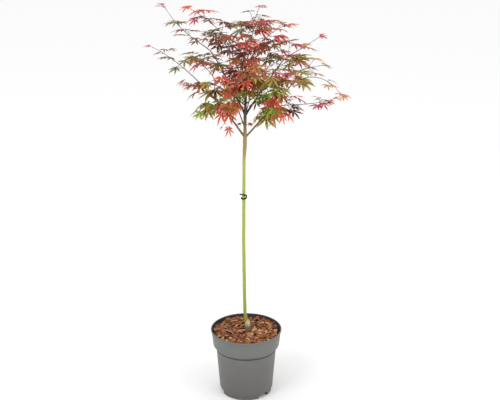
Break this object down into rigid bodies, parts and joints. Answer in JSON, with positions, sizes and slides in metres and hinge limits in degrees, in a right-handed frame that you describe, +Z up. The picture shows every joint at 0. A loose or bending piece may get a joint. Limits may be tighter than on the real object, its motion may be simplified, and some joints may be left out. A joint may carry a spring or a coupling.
{
  "type": "potted tree",
  "caption": "Young Japanese maple trained as a small standard in a round nursery pot: slim grafted stem, forking boughs and an airy crown of bronze, red and green palmate leaves",
  "frame": {"origin": "centre of the pot's flat underside, on the ground", "axes": "+Z is up along the stem, +X is to the viewer's right in the picture and +Y points away from the viewer"},
  "size_m": [0.5638, 0.4676, 1.1577],
  "materials": {
    "pot": "matte mid grey moulded plastic",
    "bark_mulch": "loose red-brown bark chips over potting soil",
    "stem": "smooth yellow-green young bark, tan at the graft",
    "bough": "smooth dark red-brown young bark",
    "tie": "matte black bendable strip",
    "foliage": "thin matte leaves in bronze, crimson, orange-red and green"
  },
  "bodies": {
    "root": {"back_left_branch": "bough", "back_left_spray": "foliage", "back_right_branch": "bough", "back_right_spray": "foliage", "back_spray": "foliage", "core_front_branch": "bough", "core_front_spray": "foliage", "core_left_branch": "bough", "core_left_spray": "foliage", "core_right_branch": "bough", "core_right_spray": "foliage", "far_left_spray": "foliage", "filling": "bark_mulch", "fork_back_bough": "bough", "fork_centre_bough": "bough", "fork_front_bough": "bough", "fork_left_bough": "bough", "fork_right_bough": "bough", "front_left_branch": "bough", "front_left_spray": "foliage", "front_right_branch": "bough", "front_right_spray": "foliage", "front_spray": "foliage", "left_hanging_spray": "foliage", "left_low_branch": "bough", "left_middle_spray": "foliage", "left_side_branch": "bough", "left_side_spray": "foliage", "left_up_branch": "bough", "low_back_branch": "bough", "low_back_spray": "foliage", "low_front_branch": "bough", "low_front_spray": "foliage", "low_left_bough": "bough", "low_left_branch": "bough", "low_left_spray": "foliage", "low_right_bough": "bough", "low_right_spray": "foliage", "pot": "pot", "right_arch_spray": "foliage", "right_hanging_spray": "foliage", "right_low_branch": "bough", "right_mid_branch": "bough", "right_middle_spray": "foliage", "right_side_branch": "bough", "right_upper_spray": "foliage", "tie": "tie", "top_back_branch": "bough", "top_back_spray": "foliage", "top_centre_spray": "foliage", "top_front_branch": "bough", "top_front_spray": "foliage", "top_left_branch": "bough", "top_left_spray": "foliage", "top_right_branch": "bough", "top_right_spray": "foliage", "trunk": "stem", "upper_left_spray": "foliage"}
  },
  "joints": []
}
